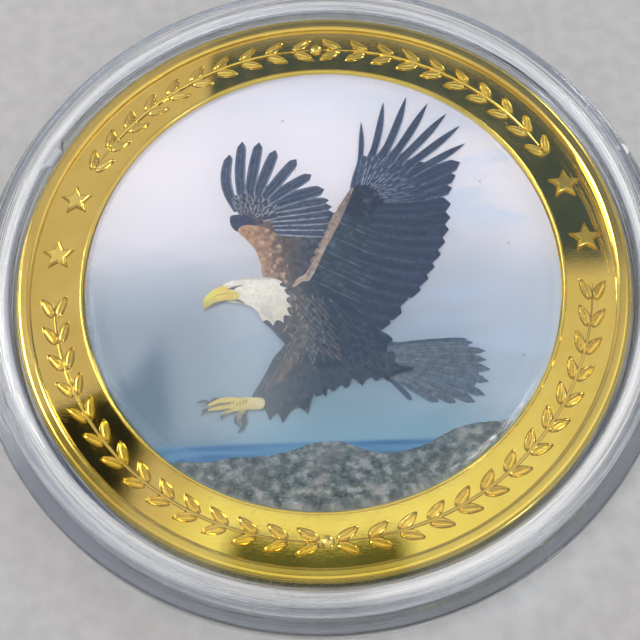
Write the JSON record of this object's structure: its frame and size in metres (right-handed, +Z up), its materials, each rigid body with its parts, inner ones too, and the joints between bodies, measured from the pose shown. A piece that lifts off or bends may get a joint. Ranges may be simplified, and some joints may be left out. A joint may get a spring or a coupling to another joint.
{
  "type": "challenge coin in a clear capsule",
  "caption": "Struck round coin with a printed, resin-covered picture, held in a clear two-part push-fit capsule that opens for display or storage.",
  "frame": {"origin": "centre of the capsule's underside, on the surface it lies on", "axes": "+Z up through both faces of the coin, picture side up; +Y towards the top of the picture; +X to its right"},
  "size_m": [0.046, 0.046, 0.0055],
  "materials": {
    "clear_plastic": "clear moulded plastic, polished, faint scratches",
    "gold_plate": "mirror-polished gold plating over struck metal",
    "printed_sheet": "colour print: sky, sea, hills and a landing eagle",
    "clear_resin": "clear poured resin, glossy, rounded edge"
  },
  "bodies": {
    "base": {"capsule_base": "clear_plastic"},
    "coin": {"coin_body": "gold_plate", "print_disc": "printed_sheet", "resin_layer": "clear_resin"},
    "lid": {"capsule_lid": "clear_plastic"}
  },
  "joints": [
    {"name": "coin_lift", "type": "slide", "parent": "base", "child": "coin", "axis": [0, 0, 1], "range_m": [0, 0.012]},
    {"name": "lid_lift", "type": "slide", "parent": "coin", "child": "lid", "axis": [0, 0, 1], "range_m": [0, 0.015]}
  ]
}
